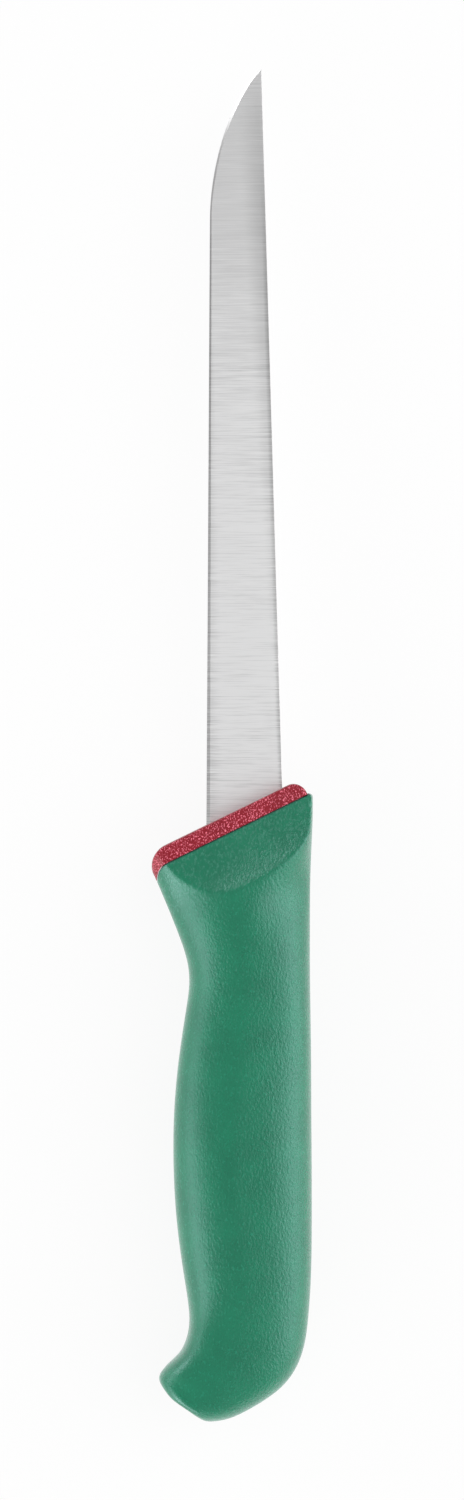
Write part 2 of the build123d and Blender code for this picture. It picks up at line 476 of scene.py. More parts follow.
# colour of the painted shade on the grip along its joint with the collar
JOINT_SHADE_COLOUR = (0.003, 0.012, 0.008)
SHEEN_TINT = (0.5, 1, 0.9)
COLLAR_LOOK = {
    "gloss_colour": (1, 1, 1),
    "specular": 0.35,
    "roughness": 0.42,
    "sheen": 0.06,
    "coat": 0.0,
    "grain_cells": 3700,
    "relief": 0.08 * mm,
    "speck_colour": (0.92, 0.2, 0.28),
    "speck_places": (0.56, 0.61),
    "scoop_specks": 0.0,
}
GRIP_LOOK = {
    "gloss_colour": (0.6, 0.96, 1.0),
    "specular": 0.66,
    "roughness": 0.25,
    "sheen": 0.12,
    "coat": 0.55,
    "grain_cells": 1900,
    "relief": 0.15 * mm,
    "speck_colour": (0.003, 0.205, 0.105),
    "speck_places": (0.58, 0.7),
    "scoop_specks": 0.8,
}


def plastic_material(name, colour, knife, look):
    """Moulded plastic with a fine spark-eroded grain and specks on its highest points."""
    gloss = {
        "Specular IOR Level": look["specular"],
        "Specular Tint": (*look["gloss_colour"], 1),
        "Sheen Weight": look["sheen"],
        "Sheen Tint": (*SHEEN_TINT, 1),
        "Coat Weight": look["coat"],
    }
    material, tree, shader = new_material(name, **gloss, **PLASTIC_COAT)
    cells = tuple(look["grain_cells"] * stretch for stretch in GRAIN_STRETCH)
    grain = noise_over(tree, cells, detail=2, roughness=0.6)
    stops = [(place, tinted(colour, factor)) for place, factor in CLOUD_TINTS]
    ground = colour_ramp(tree, noise_over(tree, **PLASTIC_CLOUDS), stops)
    specks = smooth_step(tree, grain, *look["speck_places"])
    seen = mixed(tree, specks, ground, (*look["speck_colour"], 1))

    # the scoops, which end along a line parallel to the collar's front, carry finer specks
    x, y, _ = object_coordinates(tree)
    behind_front = (y - knife.place[1]) - (x - knife.place[0]) * tan(knife.rake)
    in_scoop = smooth_step(tree, behind_front, *SCOOP_SPECK_REACH) * look["scoop_specks"]
    specks = in_scoop * smooth_step(tree, grain, *SCOOP_SPECK_PLACES)
    seen = mixed(tree, specks, seen, (*SCOOP_SPECK_COLOUR, 1))
    # painted shade: the grip darkens along its joint with the collar
    seen = mixed(tree, mesh_attribute(tree, "seam"), seen, (*JOINT_SHADE_COLOUR, 1))
    join(tree, seen, shader.inputs["Base Color"])
    roughness = (grain - NOISE_MEAN) * GRAIN_ROUGHNESS + look["roughness"]
    join(tree, roughness, shader.inputs["Roughness"])
    relief = smooth_step(tree, x, *RELIEF_GAIN_PLACES) + RELIEF_AT_FINGERS
    bump_from(tree, shader, grain * relief, look["relief"])
    return material


# Finishing a piece
BODY = "root"
MERGE_DISTANCE = 0.001 * mm
SHORTEST_EDGE = 0.0001 * mm


def finish_piece(piece, node):
    """Stands a finished piece in its node's place, on the knife's one body."""
    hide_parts(node)
    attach(piece, BODY)


def link_piece(name, mesh, material):
    """A new object at the origin for a finished mesh."""
    mesh.name = name
    mesh.materials.clear()
    mesh.materials.append(material)
    piece = bpy.data.objects.new(name, mesh)
    bpy.context.scene.collection.objects.link(piece)
    return piece


def clean_mesh(mesh, sharp_angle, merge=None, shortest=None):
    """Merges near points, drops faces and edges without size, and smooths the mesh except where
    two faces turn by more than an angle."""
    bm = bmesh.new()
    bm.from_mesh(mesh)
    if merge:
        bmesh.ops.remove_doubles(bm, verts=bm.verts[:], dist=merge)
    if shortest:
        bmesh.ops.dissolve_degenerate(bm, dist=shortest, edges=bm.edges[:])
        bmesh.ops.recalc_face_normals(bm, faces=bm.faces[:])
    for face in bm.faces:
        face.smooth = True
    for edge in bm.edges:
        edge.smooth = len(edge.link_faces) == 2 and edge.calc_face_angle() < sharp_angle
    bm.to_mesh(mesh)
    bm.free()


# Blade, made by geometry nodes. Handles are shares of the belly's length, before the tip or
# past the belly's start, and so is the stretch where the bevel steepens. The widest bevel and
# the widest round of the spine are shares of the blade's width.
BELLY_STEPS = 120
BELLY_HANDLE = 0.45
TIP_HANDLE_ACROSS = 0.148
TIP_HANDLE_ALONG = 0.1
STEEPER_START = 0.7
STEEPER_LENGTH = 0.5
WIDEST_BEVEL = 0.4
WIDEST_ROUND = 0.15
# The grid's columns: the edge, the bevel's top, the face, the spine's round and the middle plane
FACE_STEPS = 14
SPINE_STEPS = 8
BLADE_COLUMNS = 3 + FACE_STEPS + SPINE_STEPS
BLADE_SHARP_ANGLE = radians(6)
BLADE_MEASURES = (
    "Rake",
    "Length",
    "Heel width",
    "Tip across",
    "Belly across",
    "Belly length",
    "Spine thickness",
    "Heel edge thickness",
    "Belly edge thickness",
    "Edge angle",
    "Tip edge angle",
    "Spine round",
    "Heel depth",
    "Apex length",
    "Apex thinning",
)
BLADE_INPUTS = [
    ("Place", "NodeSocketVector"),
    *((name, "NodeSocketFloat") for name in BLADE_MEASURES),
    ("Rows", "NodeSocketInt"),
    ("Material", "NodeSocketMaterial"),
]


def joined(tree, *geometries):
    """Several geometries as one."""
    node = tree.nodes.new("GeometryNodeJoinGeometry")
    for geometry in geometries:
        tree.links.new(geometry, node.inputs[0])
    return node.outputs[0]


def merged(tree, geometry, distance):
    """A geometry whose near points are one."""
    inputs = {"Geometry": geometry, "Distance": distance}
    return add_node(tree, "GeometryNodeMergeByDistance", inputs).outputs[0]


def blade_rails(tree, value):
    """The edge's rail, straight and then curved up to the tip, and the spine's straight rail."""
    length, rake, depth = value("Length"), value("Rake"), value("Heel depth")
    heel_half, tip_across = value("Heel width") / 2, value("Tip across")
    belly_across, belly_length = value("Belly across"), value("Belly length")
    belly_along = length - belly_length

    def at_heel(across, lean):
        """The point of a side that lies the heel's depth behind the collar's front."""
        along = (rake.sine() * across - depth) / (rake.cosine() - rake.sine() * lean)
        return point(tree, lean * along + across, along)

    spine_start = at_heel(heel_half, (tip_across - heel_half) / length)
    edge_start = at_heel(heel_half * -1, (heel_half - belly_across) / belly_along)
    belly = point(tree, belly_across * -1, belly_along)
    tip = point(tree, tip_across, length)
    first_handle = point(tree, belly_across * -1, belly_length * BELLY_HANDLE + belly_along)
    handle_across = tip_across - belly_length * TIP_HANDLE_ACROSS
    last_handle = point(tree, handle_across, length - belly_length * TIP_HANDLE_ALONG)
    straight = add_node(tree, "GeometryNodeCurvePrimitiveLine", {"Start": edge_start, "End": belly})
    curve = add_node(
        tree,
        "GeometryNodeCurvePrimitiveBezierSegment",
        {
            "Start": belly,
            "Start Handle": first_handle,
            "End Handle": last_handle,
            "End": tip,
            "Resolution": BELLY_STEPS,
        },
        mode="POSITION",
    )
    both = joined(tree, curve.outputs[0], straight.outputs[0])
    edge = add_node(tree, "GeometryNodeCurveToMesh", {"Curve": both}).outputs[0]
    edge = merged(tree, edge, MERGE_DISTANCE)
    edge = add_node(tree, "GeometryNodeMeshToCurve", {"Mesh": edge}).outputs[0]
    spine = add_node(tree, "GeometryNodeCurvePrimitiveLine", {"Start": spine_start, "End": tip})
    return edge, spine.outputs[0]


def blade_points(tree, value, column, row):
    """Where the points of a grid lie on the blade's upper half, by their columns and rows."""
    last_row = value("Rows") - 1
    share = ((row - 1) / (last_row - 1)).within(0.0, 1.0)

    def on_rail(rail):
        """The place and the direction at the row's share of a rail."""
        sample = add_node(
            tree,
            "GeometryNodeSampleCurve",
            {"Curves": rail, "Factor": share},
            mode="FACTOR",
            use_all_curves=True,
        )
        return parts_of(tree, sample.outputs["Position"]), parts_of(tree, sample.outputs["Tangent"])

    edge_rail, spine_rail = blade_rails(tree, value)
    (edge_x, edge_y, _), (tangent_x, tangent_y, _) = on_rail(edge_rail)
    (spine_x, spine_y, _), _ = on_rail(spine_rail)

    # half the thickness is a plane over the blade, and gets thinner still at the tip
    spine_half = value("Spine thickness") / 2
    heel_edge_half = value("Heel edge thickness") / 2
    gain_across = (spine_half - heel_edge_half) / value("Heel width")
    middle_half = (spine_half + heel_edge_half) / 2
    belly_middle_half = middle_half - gain_across * value("Belly across")
    length, belly_length = value("Length"), value("Belly length")
    gain_along = value("Belly edge thickness") / 2 - belly_middle_half
    gain_along = gain_along / (length - belly_length)

    def half_thickness(x, y):
        near_apex = ((y - length) / value("Apex length") + 1).within(0.0, 1.0)
        thinned = 1 - near_apex * near_apex * value("Apex thinning")
        return (middle_half + gain_across * x + gain_along * y) * thinned

    # the bevel leans in to the edge, more steeply near the tip
    width_x, width_y = spine_x - edge_x, spine_y - edge_y
    width = (width_x * width_x + width_y * width_y).maths("SQRT").most(SHORTEST_EDGE)
    near_tip = edge_y - length + belly_length * STEEPER_START
    near_tip = near_tip / (belly_length * STEEPER_LENGTH)
    steeper = value("Tip edge angle") - value("Edge angle")
    slope = (value("Edge angle") + steeper * near_tip.within(0.0, 1.0)).tangent()
    rise = gain_across * tangent_y - gain_along * tangent_x
    bevel = (half_thickness(edge_x, edge_y) / (slope - rise)).least(width * WIDEST_BEVEL)
    bevel_x, bevel_y = edge_x + tangent_y * bevel, edge_y - tangent_x * bevel
    rounding = value("Spine round").least(width * WIDEST_ROUND)
    unit_x, unit_y = width_x / width, width_y / width
    round_x, round_y = spine_x - unit_x * rounding, spine_y - unit_y * rounding

    on_bevel = column.within(0.0, 1.0)
    on_face = ((column - 1) / FACE_STEPS).within(0.0, 1.0)
    turn = ((column - (1 + FACE_STEPS)) / SPINE_STEPS).within(0.0, 1.0) * (pi / 2)
    over_edge = 1 - (column - (BLADE_COLUMNS - 2)).within(0.0, 1.0)
    x = edge_x + (bevel_x - edge_x) * on_bevel + (round_x - bevel_x) * on_face
    y = edge_y + (bevel_y - edge_y) * on_bevel + (round_y - bevel_y) * on_face
    x = x + unit_x * rounding * turn.sine()
    y = y + unit_y * rounding * turn.sine()
    inward = (x - edge_x) * tangent_y - (y - edge_y) * tangent_x
    height = half_thickness(x, y).least(inward.most(0.0) * slope)
    height = height - rounding * (1 - turn.cosine())
    height = height.most(0.0) * over_edge * row.within(0.0, 1.0)
    return point(tree, x, y, height)


def blade_tree():
    """The rule of the blade: two rails, a flat grind that leans in to the edge, and a bevel."""
    tree = bpy.data.node_groups.new("Ground blade", "GeometryNodeTree")
    tree.is_modifier = True
    for name, side, kind in (
        ("Geometry", "INPUT", "NodeSocketGeometry"),
        ("Geometry", "OUTPUT", "NodeSocketGeometry"),
        *((name, "INPUT", kind) for name, kind in BLADE_INPUTS),
    ):
        tree.interface.new_socket(name, in_out=side, socket_type=kind)
    given = add_node(tree, "NodeGroupInput").outputs

    def value(name):
        return Sum(tree, given[name])

    grid = add_node(
        tree,
        "GeometryNodeMeshGrid",
        {"Size X": 1.0, "Size Y": 1.0, "Vertices X": BLADE_COLUMNS, "Vertices Y": given["Rows"]},
    )
    across, along, _ = parts_of(tree, add_node(tree, "GeometryNodeInputPosition").outputs[0])
    column = (across + 0.5) * (BLADE_COLUMNS - 1)
    row = (along + 0.5) * (value("Rows") - 1)
    marked = add_node(
        tree,
        "GeometryNodeStoreNamedAttribute",
        {"Geometry": grid.outputs[0], "Name": "bevel", "Value": column.maths("LESS_THAN", 1.0)},
        data_type="FLOAT",
        domain="FACE",
    )
    upper = add_node(
        tree,
        "GeometryNodeSetPosition",
        {"Geometry": marked.outputs[0], "Position": blade_points(tree, value, column, row)},
    )
    lower = add_node(
        tree, "GeometryNodeTransform", {"Geometry": upper.outputs[0], "Scale": (1, 1, -1)}
    )
    lower = add_node(tree, "GeometryNodeFlipFaces", {0: lower.outputs[0]})
    whole = joined(tree, upper.outputs[0], lower.outputs[0])
    placed = add_node(
        tree,
        "GeometryNodeTransform",
        {"Geometry": merged(tree, whole, 2 * MERGE_DISTANCE), "Translation": given["Place"]},
    )
    realized = add_node(tree, "GeometryNodeRealizeInstances", {0: placed.outputs[0]})
    painted = add_node(
        tree,
        "GeometryNodeSetMaterial",
        {"Geometry": realized.outputs[0], "Material": given["Material"]},
    )
    add_node(tree, "NodeGroupOutput", {0: painted.outputs[0]})
    return tree


class KNIFE_OT_blade(bpy.types.Operator):
    """Makes the ground blade in brushed steel"""

    bl_idname = "knife.blade"
    bl_label = "Blade"

    def execute(self, context):
        settings = context.scene.knife_blade
        knife = context.scene.knife
        material = steel_material(settings, knife.place)
        tree = blade_tree()
        carrier = link_piece("blade_rule", bpy.data.meshes.new("blade_rule"), material)
        modifier = carrier.modifiers.new("Ground blade", "NODES")
        modifier.node_group = tree
        for item in tree.interface.items_tree:
            if item.in_out != "INPUT" or item.name == "Geometry":
                continue
            attribute = item.name.lower().replace(" ", "_")
            if item.name == "Material":
                modifier[item.identifier] = material
            elif hasattr(knife, attribute):
                given = getattr(knife, attribute)
                modifier[item.identifier] = list(given) if attribute == "place" else given
            else:
                modifier[item.identifier] = getattr(settings, attribute)
        carrier.update_tag()
        context.view_layer.update()
        evaluated = carrier.evaluated_get(context.evaluated_depsgraph_get())
        mesh = bpy.data.meshes.new_from_object(evaluated)
        if len(mesh.polygons) < settings.rows:
            raise RuntimeError("the blade's rule gave no faces")
        bpy.data.objects.remove(carrier)
        clean_mesh(mesh, BLADE_SHARP_ANGLE, shortest=SHORTEST_EDGE)
        finish_piece(link_piece("blade_ground", mesh, material), "blade")
        return {"FINISHED"}


# Collar and core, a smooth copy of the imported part
COLLAR_SHARP_ANGLE = radians(32)


class KNIFE_OT_collar(bpy.types.Operator):
    """Makes the collar with its core in the first plastic"""

    bl_idname = "knife.collar"
    bl_label = "Collar"

    def execute(self, context):
        colour = context.scene.knife_handle.collar_colour
        material = plastic_material("collar_plastic", colour, context.scene.knife, COLLAR_LOOK)
        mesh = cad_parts["handle_core"].data.copy()
        if not mesh.polygons:
            raise RuntimeError("the packed core has no faces")
        clean_mesh(mesh, COLLAR_SHARP_ANGLE, merge=MERGE_DISTANCE)
        piece = link_piece("collar_and_core", mesh, material)
        finish_piece(piece, "handle_core")
        return {"FINISHED"}


# Grip: the second moulding, over sections that follow the hand. The crown's place is a share of
# the way from the finger side to the back, and the scoop's reach is a share of its radius.
CROWN_SHARE = 0.54
SIDE_FLAT_DEPTH = 0.25 * mm
SIDE_FLAT_BLEND = 0.3 * mm
CREASE_BLEND = 0.3 * mm
SCOOP_REACH = 0.98
SECTION_SAMPLES = 220
# Each row is a section, from the collar to the butt: the finger side's place across and behind
# the collar's front, the back's place likewise, the thickness, the fullness of the finger
# side, and the fullness of the back up its side and over its top. Places across are shares of
# the palm's depth, places behind are shares of the reach.
HANDLE_STATIONS = np.array(
    [
        (-0.744, -0.020, 0.487, -0.020, 1.000, 0.510, 0.950, 0.870),
        (-0.636, 0.050, 0.492, 0.049, 1.000, 0.470, 0.950, 0.900),
        (-0.552, 0.104, 0.485, 0.104, 1.000, 0.420, 0.895, 0.900),
        (-0.474, 0.157, 0.474, 0.166, 0.968, 0.475, 0.565, 0.376),
        (-0.417, 0.203, 0.471, 0.235, 0.939, 0.515, 0.700, 0.432),
        (-0.399, 0.242, 0.471, 0.305, 0.935, 0.525, 0.765, 0.580),
        (-0.419, 0.280, 0.474, 0.375, 0.925, 0.520, 0.750, 0.690),
        (-0.468, 0.3485, 0.479, 0.453, 0.940, 0.520, 0.720, 0.720),
        (-0.508, 0.442, 0.481, 0.551, 0.980, 0.520, 0.700, 0.700),
        (-0.511, 0.538, 0.484, 0.647, 1.000, 0.520, 0.700, 0.700),
        (-0.484, 0.632, 0.484, 0.736, 0.985, 0.520, 0.700, 0.700),
        (-0.435, 0.718, 0.479, 0.812, 0.950, 0.560, 0.690, 0.690),
        (-0.399, 0.784, 0.461, 0.876, 0.910, 0.660, 0.680, 0.680),
        (-0.411, 0.813, 0.425, 0.927, 0.880, 0.760, 0.670, 0.670),
        (-0.461, 0.835, 0.312, 0.967, 0.820, 0.760, 0.650, 0.650),
        (-0.560, 0.847, 0.049, 0.9835, 0.740, 0.680, 0.630, 0.630),
        (-0.612, 0.8565, -0.161, 0.980, 0.670, 0.600, 0.620, 0.620),
        (-0.643, 0.864, -0.338, 0.963, 0.620, 0.560, 0.600, 0.600),
    ]
)
# The joint with the collar is found by halving, between the first station and this one
JOINT_LAST_STATION = 3
JOINT_SEARCH_STEPS = 26
JOINT_BEND_SHARE = 0.674
JOINT_BEND_RADIUS = 4.2 * mm
JOINT_TURN = radians(60)
JOINT_ROUND = 0.3 * mm
CORNER_ROUND = 1.3 * mm
# The corner's start and blend are shares of the way round, and the end of the painted shade along
# the joint is in its widths
CORNER_START = 0.8
CORNER_BLEND = 1 / 14
# painted shade: a dark line on the grip along its joint with the collar, its width, end and
# darkness
JOINT_SHADE_WIDTH = 0.2 * mm
JOINT_SHADE_END = 2.2
JOINT_SHADE_DARKNESS = 0.8
BUTT_ROUND = 2.2 * mm
CAP_BULGE = 0.25 * mm
CAP_RINGS = 8
# Rows and columns of faces crowd towards the rounded ends, and gaps are shares of the grip
ROUND_REACH = 1.3
FRONT_ROWS = 10
FRONT_CROWDING = 1.5
FRONT_GAP = 0.0012
END_ROWS = 14
END_CROWDING = 1.6
END_GAP = 0.002
EDGE_CROWDING = 0.25
GRIP_SHARP_ANGLE = radians(50)
NO_LENGTH = 1e-12


def natural_spline(places, values):
    """A smooth curve through values at places, as a function of place."""
    gaps = np.diff(places)
    slopes = np.diff(values, axis=0) / gaps[:, None]
    count = len(places)
    system = np.eye(count)
    right = np.zeros_like(values)
    for i in range(1, count - 1):
        system[i, i - 1 : i + 2] = gaps[i - 1], 2 * (gaps[i - 1] + gaps[i]), gaps[i]
        right[i] = 6 * (slopes[i] - slopes[i - 1])
    bends = np.linalg.solve(system, right)

    def curve(wanted):
        index = np.clip(np.searchsorted(places, wanted) - 1, 0, count - 2)
        gap = gaps[index][:, None]
        low = (places[index + 1] - wanted)[:, None]
        high = (wanted - places[index])[:, None]
        return (
            bends[index] * low**3 / (6 * gap)
            + bends[index + 1] * high**3 / (6 * gap)
            + (values[index] / gap - bends[index] * gap / 6) * low
            + (values[index + 1] / gap - bends[index + 1] * gap / 6) * high
        )

    return curve


def softest(first, second, blend):
    """The lesser of two heights, with the crease between them rounded."""
    near = np.maximum(blend - np.abs(first - second), 0) / blend
    return np.minimum(first, second) - near * near * blend / 4


def quarter(t, side_fullness, top_fullness):
    """A quarter of a section from its side to its crown: how far out and how far up, as shares."""
    s = 1 - t
    out = s**3 + 3 * s * s * t + 3 * s * t * t * top_fullness
    up = 3 * s * s * t * side_fullness + 3 * s * t * t + t**3
    return out, up


class GripForm:
    """The grip's surface, by the place along it and the share of the way round its upper half."""

    def __init__(self, settings, rake):
        self.settings = settings
        self.rake = rake
        table = HANDLE_STATIONS.copy()
        for across, along in ((0, 1), (2, 3)):
            table[:, across] *= settings.palm_depth
            table[:, along] = table[:, across] * tan(rake) - table[:, along] * settings.reach
        middles = (table[:, 0:2] + table[:, 2:4]) / 2
        steps = np.linalg.norm(np.diff(middles, axis=0), axis=1)
        self.places = np.concatenate([[0], np.cumsum(steps)])
        self.curve = natural_spline(self.places, table)
        self.end_finger, self.end_back = table[-1, 0:2], table[-1, 2:4]

    def depth_and_side(self, x, y):
        """How far a point is behind the collar's front, and its place along the front."""
        side = x * cos(self.rake) + y * sin(self.rake)
        return x * sin(self.rake) - y * cos(self.rake), side

    def joint_depth(self, side):
        """Where the collar ends, which bends back at the nose."""
        beyond = np.maximum(-JOINT_BEND_SHARE * self.settings.palm_depth - side, 0)
        on_arc = np.minimum(beyond, JOINT_BEND_RADIUS * sin(JOINT_TURN))
        arc = JOINT_BEND_RADIUS - np.sqrt(JOINT_BEND_RADIUS**2 - on_arc**2)
        return self.settings.collar_depth + arc + (beyond - on_arc) * tan(JOINT_TURN)

    def behind_joint(self, points):
        """How far points lie behind the collar's end."""
        depth, side = self.depth_and_side(points[..., 0], points[..., 1])
        return depth - self.joint_depth(side)

    def section(self, places):
        """Dense upper halves of the sections at some places, from the finger side to the back."""
        settings = self.settings
        rows = self.curve(places)
        finger, back = rows[:, None, 0:2], rows[:, None, 2:4]
        height = rows[:, None, 4] * (settings.thickness / 2 + SIDE_FLAT_DEPTH)
        crown = finger + (back - finger) * CROWN_SHARE
        t = np.linspace(0, 1, SECTION_SAMPLES)[None, :]
        out, up = quarter(t, rows[:, None, 5], rows[:, None, 5])
        finger_half = crown + (finger - crown) * out[..., None]
        out_back, up_back = quarter(t, rows[:, None, 6], rows[:, None, 7])
        back_half = crown + (back - crown) * out_back[..., None]
        flat = np.concatenate([finger_half, back_half[:, -2::-1]], axis=1)
        rise = np.concatenate([height * up, (height * up_back)[:, -2::-1]], axis=1)
        rise = softest(rise, settings.thickness / 2, SIDE_FLAT_BLEND)

        depth, _ = self.depth_and_side(flat[..., 0], flat[..., 1])
        radius = settings.scoop_radius
        inside = np.clip(depth, 0, radius * SCOOP_REACH)
        scoop = settings.collar_thickness / 2 + radius - np.sqrt(radius**2 - inside**2)
        rise = np.maximum(softest(rise, scoop, CREASE_BLEND), 0)
        rise[:, [0, -1]] = 0
        return flat, rise

    def points(self, places, shares):
        """Points of the upper surface, at a share of the way round each section."""
        flat, rise = self.section(places)
        full = np.concatenate([flat, rise[..., None]], axis=2)
        steps = np.linalg.norm(np.diff(full, axis=1), axis=2)
        run = np.concatenate([np.zeros((len(places), 1)), np.cumsum(steps, axis=1)], axis=1)
        run /= run[:, -1:]
        found = np.empty((len(places), 3))
        for i, share in enumerate(shares):
            for axis in range(3):
                found[i, axis] = np.interp(share, run[i], full[i, :, axis])
        return found


def grip_grid(form, settings):
    """Rows of points from the collar's joint to the butt, upper half, finger side to back."""
    even = np.linspace(0, 1, settings.columns + 1)
    shares = (1 - np.cos(even * pi)) / 2 * EDGE_CROWDING + even * (1 - EDGE_CROWDING)
    low = np.full(len(shares), form.places[0])
    high = np.full(len(shares), form.places[JOINT_LAST_STATION])
    for _ in range(JOINT_SEARCH_STEPS):
        middle = (low + high) / 2
        ahead = form.behind_joint(form.points(middle, shares)) < 0
        low = np.where(ahead, middle, low)
        high = np.where(ahead, high, middle)
    run = form.places[-1] - high.mean()
    front = np.linspace(0, 1, FRONT_ROWS, endpoint=False) ** FRONT_CROWDING
    front = front * CORNER_ROUND * ROUND_REACH / run
    end = (1 - np.linspace(0, 1, END_ROWS)) ** END_CROWDING
    end = 1 - end * BUTT_ROUND * ROUND_REACH / run
    middle = np.linspace(front[-1] + FRONT_GAP, end[0] - END_GAP, settings.rows)
    steps = np.concatenate([front, middle, end])
    places = high + (form.places[-1] - high) * steps[:, None]
    all_shares = np.broadcast_to(shares, places.shape)
    return form.points(places.ravel(), all_shares.ravel()).reshape(*places.shape, 3)


def outward(grid):
    """Unit normals of a grid of points."""
    along = np.gradient(grid, axis=0)
    around = np.gradient(grid, axis=1)
    around[:, 0] = (0, 0, 1)
    around[:, -1] = (0, 0, -1)
    normals = np.cross(around, along)
    normals /= np.maximum(np.linalg.norm(normals, axis=2, keepdims=True), NO_LENGTH)
    if normals[len(grid) // 2, grid.shape[1] // 2, 2] < 0:
        normals = -normals
    return normals


def rounded_off(distance, radius):
    """How far a rounded edge draws in at a distance from it."""
    short = np.clip(radius - distance, 0, radius)
    return radius - np.sqrt(radius**2 - short**2)


def rounded_ends(grid, form):
    """The grid with its rims at joint and butt rounded, and the direction of the butt's end."""
    normals = outward(grid)
    share = np.linspace(0, 1, grid.shape[1])
    at_corner = np.clip((share - CORNER_START) / CORNER_BLEND, 0, 1)
    rim = JOINT_ROUND + (CORNER_ROUND - JOINT_ROUND) * at_corner
    # the front rim draws in along the joint's own plane, so that no point leaves it
    ahead = np.array((-sin(form.rake), cos(form.rake), 0))
    faced = (normals @ ahead)[..., None]
    inward = (normals - faced * ahead) / (1 - faced**2)

    end_line = form.end_back - form.end_finger
    end_normal = np.array((end_line[1], -end_line[0])) / np.linalg.norm(end_line)
    if end_normal[1] > 0:
        end_normal = -end_normal
    from_end = -(grid[..., :2] - form.end_finger) @ end_normal
    rounded = grid - inward * rounded_off(form.behind_joint(grid), rim)[..., None]
    rounded = rounded - normals * rounded_off(from_end, BUTT_ROUND)[..., None]
    rounded[:, [0, -1], 2] = 0
    return rounded, end_normal


def whole_ring(row, mirror):
    """A ring from an upper half's row: over the top, then back underneath."""
    return np.concatenate([row, row[-2:0:-1] * mirror])


def cap_rows(last, end_normal):
    """Rows that close the butt, from its last row to a line in its middle."""
    half = last[:, 2].max()
    finger, back = last[0, :2], last[-1, :2]
    length = np.linalg.norm(back - finger)
    direction = (back - finger) / length
    along = np.clip((last[:, :2] - finger) @ direction, half, length - half)
    core = np.zeros_like(last)
    core[:, :2] = finger + along[:, None] * direction
    for k in range(1, CAP_RINGS + 1):
        share = k / CAP_RINGS
        row = last + (core - last) * share
        row[:, :2] += end_normal * CAP_BULGE * (1 - (1 - share) ** 2)
        yield row


def ring_faces(rings, around, half_count):
    """Faces between the rings, and those that close the front between its two halves."""
    faces = []
    for i in range(rings - 1):
        for j in range(around):
            near, far, k = i * around, (i + 1) * around, (j + 1) % around
            faces.append((near + j, near + k, far + k, far + j))
    for j in range(half_count - 1):
        faces.append((j, (around - j) % around, (around - j - 1) % around, j + 1))
    return faces


class KNIFE_OT_grip(bpy.types.Operator):
    """Makes the moulded grip with its finger guard, scoops and hooked butt"""

    bl_idname = "knife.grip"
    bl_label = "Grip"

    def execute(self, context):
        settings = context.scene.knife_handle
        knife = context.scene.knife
        form = GripForm(settings, knife.rake)
        grid = grip_grid(form, settings)
        if not np.isfinite(grid).all():
            raise RuntimeError("the grip's sections are broken")
        from_joint = form.behind_joint(grid)
        grid, end_normal = rounded_ends(grid, form)
        rows = [*grid, *cap_rows(grid[-1], end_normal)]
        rings = [whole_ring(row, (1, 1, -1)) for row in rows]
        around = len(rings[0])
        vertices = np.concatenate(rings) + np.array(knife.place)
        mesh = bpy.data.meshes.new("grip_moulding")
        faces = ring_faces(len(rings), around, grid.shape[1])
        mesh.from_pydata([tuple(vertex) for vertex in vertices], [], faces)

        # painted shade: the rows at the joint with the collar are darkened, fading out over a few
        # widths
        seam = np.zeros((len(rings), around))
        for i in range(FRONT_ROWS):
            widths = whole_ring(from_joint[i], 1) / JOINT_SHADE_WIDTH
            seam[i] = np.clip(JOINT_SHADE_END - widths, 0, 1) * JOINT_SHADE_DARKNESS
        mesh.attributes.new("seam", "FLOAT", "POINT").data.foreach_set("value", seam.ravel())
        clean_mesh(mesh, GRIP_SHARP_ANGLE, merge=MERGE_DISTANCE, shortest=SHORTEST_EDGE)
        material = plastic_material("grip_plastic", settings.grip_colour, knife, GRIP_LOOK)
        piece = link_piece("grip_moulding", mesh, material)
        finish_piece(piece, "grip")
        return {"FINISHED"}


# Stage: floor, light and camera
FLOOR_HALF = 3.0
PAPER_CELLS = (900, 900, 900)
PAPER_STOPS = [(0.3, (0.88, 0.88, 0.88)), (0.7, (0.9, 0.9, 0.9))]
PAPER_ROUGHNESS = 0.9
PAPER_GLOW = 0.9
SENSOR_HEIGHT = 36.0
CAMERA_REACH = 20.0
# Low lights on the finger side: the direction across and along the knife, the cosines where
# each begins and where it is full, and its strength
SIDE_LIGHTS = (
    (-0.92, -0.39, 0.77, 0.95, 2.1),
    (-0.8, 0.6, 0.86, 0.98, 3.4),
    (-0.55, -0.83, 0.8, 0.95, 3.4),
)
# The wall of light on the back's side, by how far a direction turns that way: it leans to the
# tip, has a foot, rises evenly and then steeply, and is weaker beyond its ends
WALL_TURN = 0.2
WALL_FOOT = (0.03, 0.14)
WALL_FOOT_STRENGTH = 0.2
WALL_RISE = 1.06
WALL_PEAK = 1.75
WALL_ENDS = (0.45, 0.25)
WALL_END_STRENGTH = 0.2


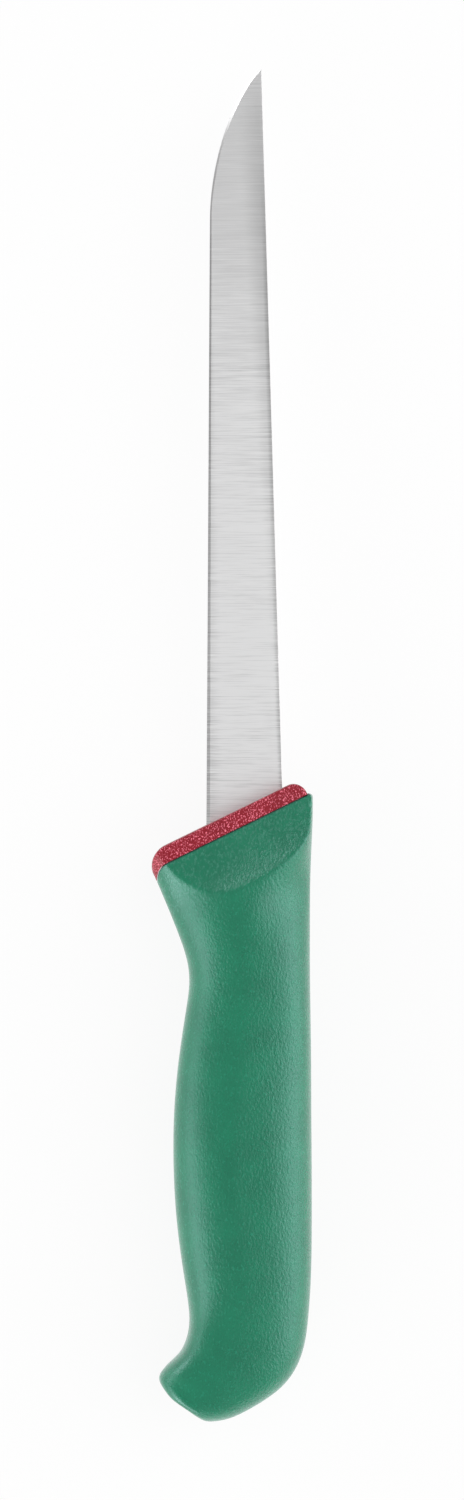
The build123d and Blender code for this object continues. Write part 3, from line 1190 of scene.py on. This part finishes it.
def studio_world(ceiling):
    """A white tent: an even ceiling, three low lights on the left and a wall of light on the
    right that grows towards the floor and fades off the knife's ends."""
    world = bpy.data.worlds.new("studio")
    world.use_nodes = True
    tree = world.node_tree
    background = tree.nodes["Background"]
    direction = add_node(tree, "ShaderNodeTexCoord").outputs["Generated"]
    across, along, _ = parts_of(tree, direction)

    wall = (across + along * WALL_TURN).most(0.0)
    strength = smooth_step(tree, wall, *WALL_FOOT) * WALL_FOOT_STRENGTH
    strength = strength + wall * WALL_RISE + wall * wall * wall * WALL_PEAK
    beside = smooth_step(tree, along * along, *WALL_ENDS)
    strength = strength * (beside * (1 - WALL_END_STRENGTH) + WALL_END_STRENGTH) + ceiling
    for turn_across, turn_along, begins, full, power in SIDE_LIGHTS:
        cosine = across * turn_across + along * turn_along
        strength = strength + smooth_step(tree, cosine, begins, full) * power
    path = add_node(tree, "ShaderNodeLightPath").outputs
    camera = Sum(tree, path["Is Camera Ray"])
    join(tree, strength * (1 - camera) + camera, background.inputs["Strength"])
    background.inputs["Color"].default_value = (1, 1, 1, 1)
    return world


def floor_material():
    """White paper: it takes the knife's soft shadow, and is white to the camera and in gloss."""
    material, tree, shader = new_material(
        "studio_floor", **{"Roughness": PAPER_ROUGHNESS, "Specular IOR Level": 0.0}
    )
    colour = colour_ramp(tree, noise_over(tree, PAPER_CELLS), PAPER_STOPS)
    join(tree, colour, shader.inputs["Base Color"])
    path = add_node(tree, "ShaderNodeLightPath").outputs
    seen = Sum(tree, path["Is Camera Ray"]).most(Sum(tree, path["Is Glossy Ray"]))
    seen = seen.most(Sum(tree, path["Is Transmission Ray"]))
    white = add_node(tree, "ShaderNodeEmission", {"Color": (1, 1, 1, 1), "Strength": 1.0})
    mix = add_node(
        tree,
        "ShaderNodeMixShader",
        {0: seen * PAPER_GLOW, 1: shader.outputs[0], 2: white.outputs[0]},
    )
    join(tree, mix.outputs[0], tree.nodes["Material Output"].inputs["Surface"])
    return material


class KNIFE_OT_stage(bpy.types.Operator):
    """Makes the floor, the light and the camera"""

    bl_idname = "knife.stage"
    bl_label = "Stage"

    def execute(self, context):
        scene = context.scene
        settings = scene.knife_studio
        half = FLOOR_HALF
        mesh = bpy.data.meshes.new("floor")
        corners = [(-half, -half, 0), (half, -half, 0), (half, half, 0), (-half, half, 0)]
        mesh.from_pydata(corners, [], [(0, 1, 2, 3)])
        floor = link_piece("floor", mesh, floor_material())
        scene.world = studio_world(settings.ceiling)
        scene.view_settings.view_transform = "Standard"

        camera_data = bpy.data.cameras.new("camera")
        camera_data.sensor_fit = "VERTICAL"
        camera_data.sensor_height = SENSOR_HEIGHT
        camera_data.lens = settings.lens
        camera_data.clip_end = CAMERA_REACH
        camera = bpy.data.objects.new("camera", camera_data)
        scene.collection.objects.link(camera)
        distance = settings.view_height * settings.lens / SENSOR_HEIGHT
        camera.location = (settings.aim[0], settings.aim[1], scene.knife.place[2] + distance)
        scene.camera = camera
        return {"FINISHED"}


# Panel
class KNIFE_PT_pieces(bpy.types.Panel):
    """The sizes and colours, with a button for each piece"""

    bl_label = "Fillet knife"
    bl_space_type = "VIEW_3D"
    bl_region_type = "UI"
    bl_category = "Knife"

    def draw(self, context):
        scene = context.scene
        for settings, operators in (
            (scene.knife, []),
            (scene.knife_blade, ["knife.blade"]),
            (scene.knife_handle, ["knife.collar", "knife.grip"]),
            (scene.knife_studio, ["knife.stage"]),
        ):
            box = self.layout.box()
            for name in settings.bl_rna.properties.keys():
                if name not in ("rna_type", "name"):
                    box.prop(settings, name)
            for operator in operators:
                box.operator(operator)


CLASSES = (
    KnifeSettings,
    BladeSettings,
    HandleSettings,
    StudioSettings,
    KNIFE_OT_blade,
    KNIFE_OT_collar,
    KNIFE_OT_grip,
    KNIFE_OT_stage,
    KNIFE_PT_pieces,
)
SETTINGS = {
    "knife": KnifeSettings,
    "knife_blade": BladeSettings,
    "knife_handle": HandleSettings,
    "knife_studio": StudioSettings,
}


def register():
    for item in CLASSES:
        bpy.utils.register_class(item)
    for name, kind in SETTINGS.items():
        setattr(bpy.types.Scene, name, PointerProperty(type=kind))


def unregister():
    for name in SETTINGS:
        delattr(bpy.types.Scene, name)
    for item in reversed(CLASSES):
        bpy.utils.unregister_class(item)


def main():
    """Makes every piece."""
    register()
    bpy.ops.knife.blade()
    bpy.ops.knife.collar()
    bpy.ops.knife.grip()
    bpy.ops.knife.stage()
    bpy.context.view_layer.update()


if __name__ == "__main__":
    main()
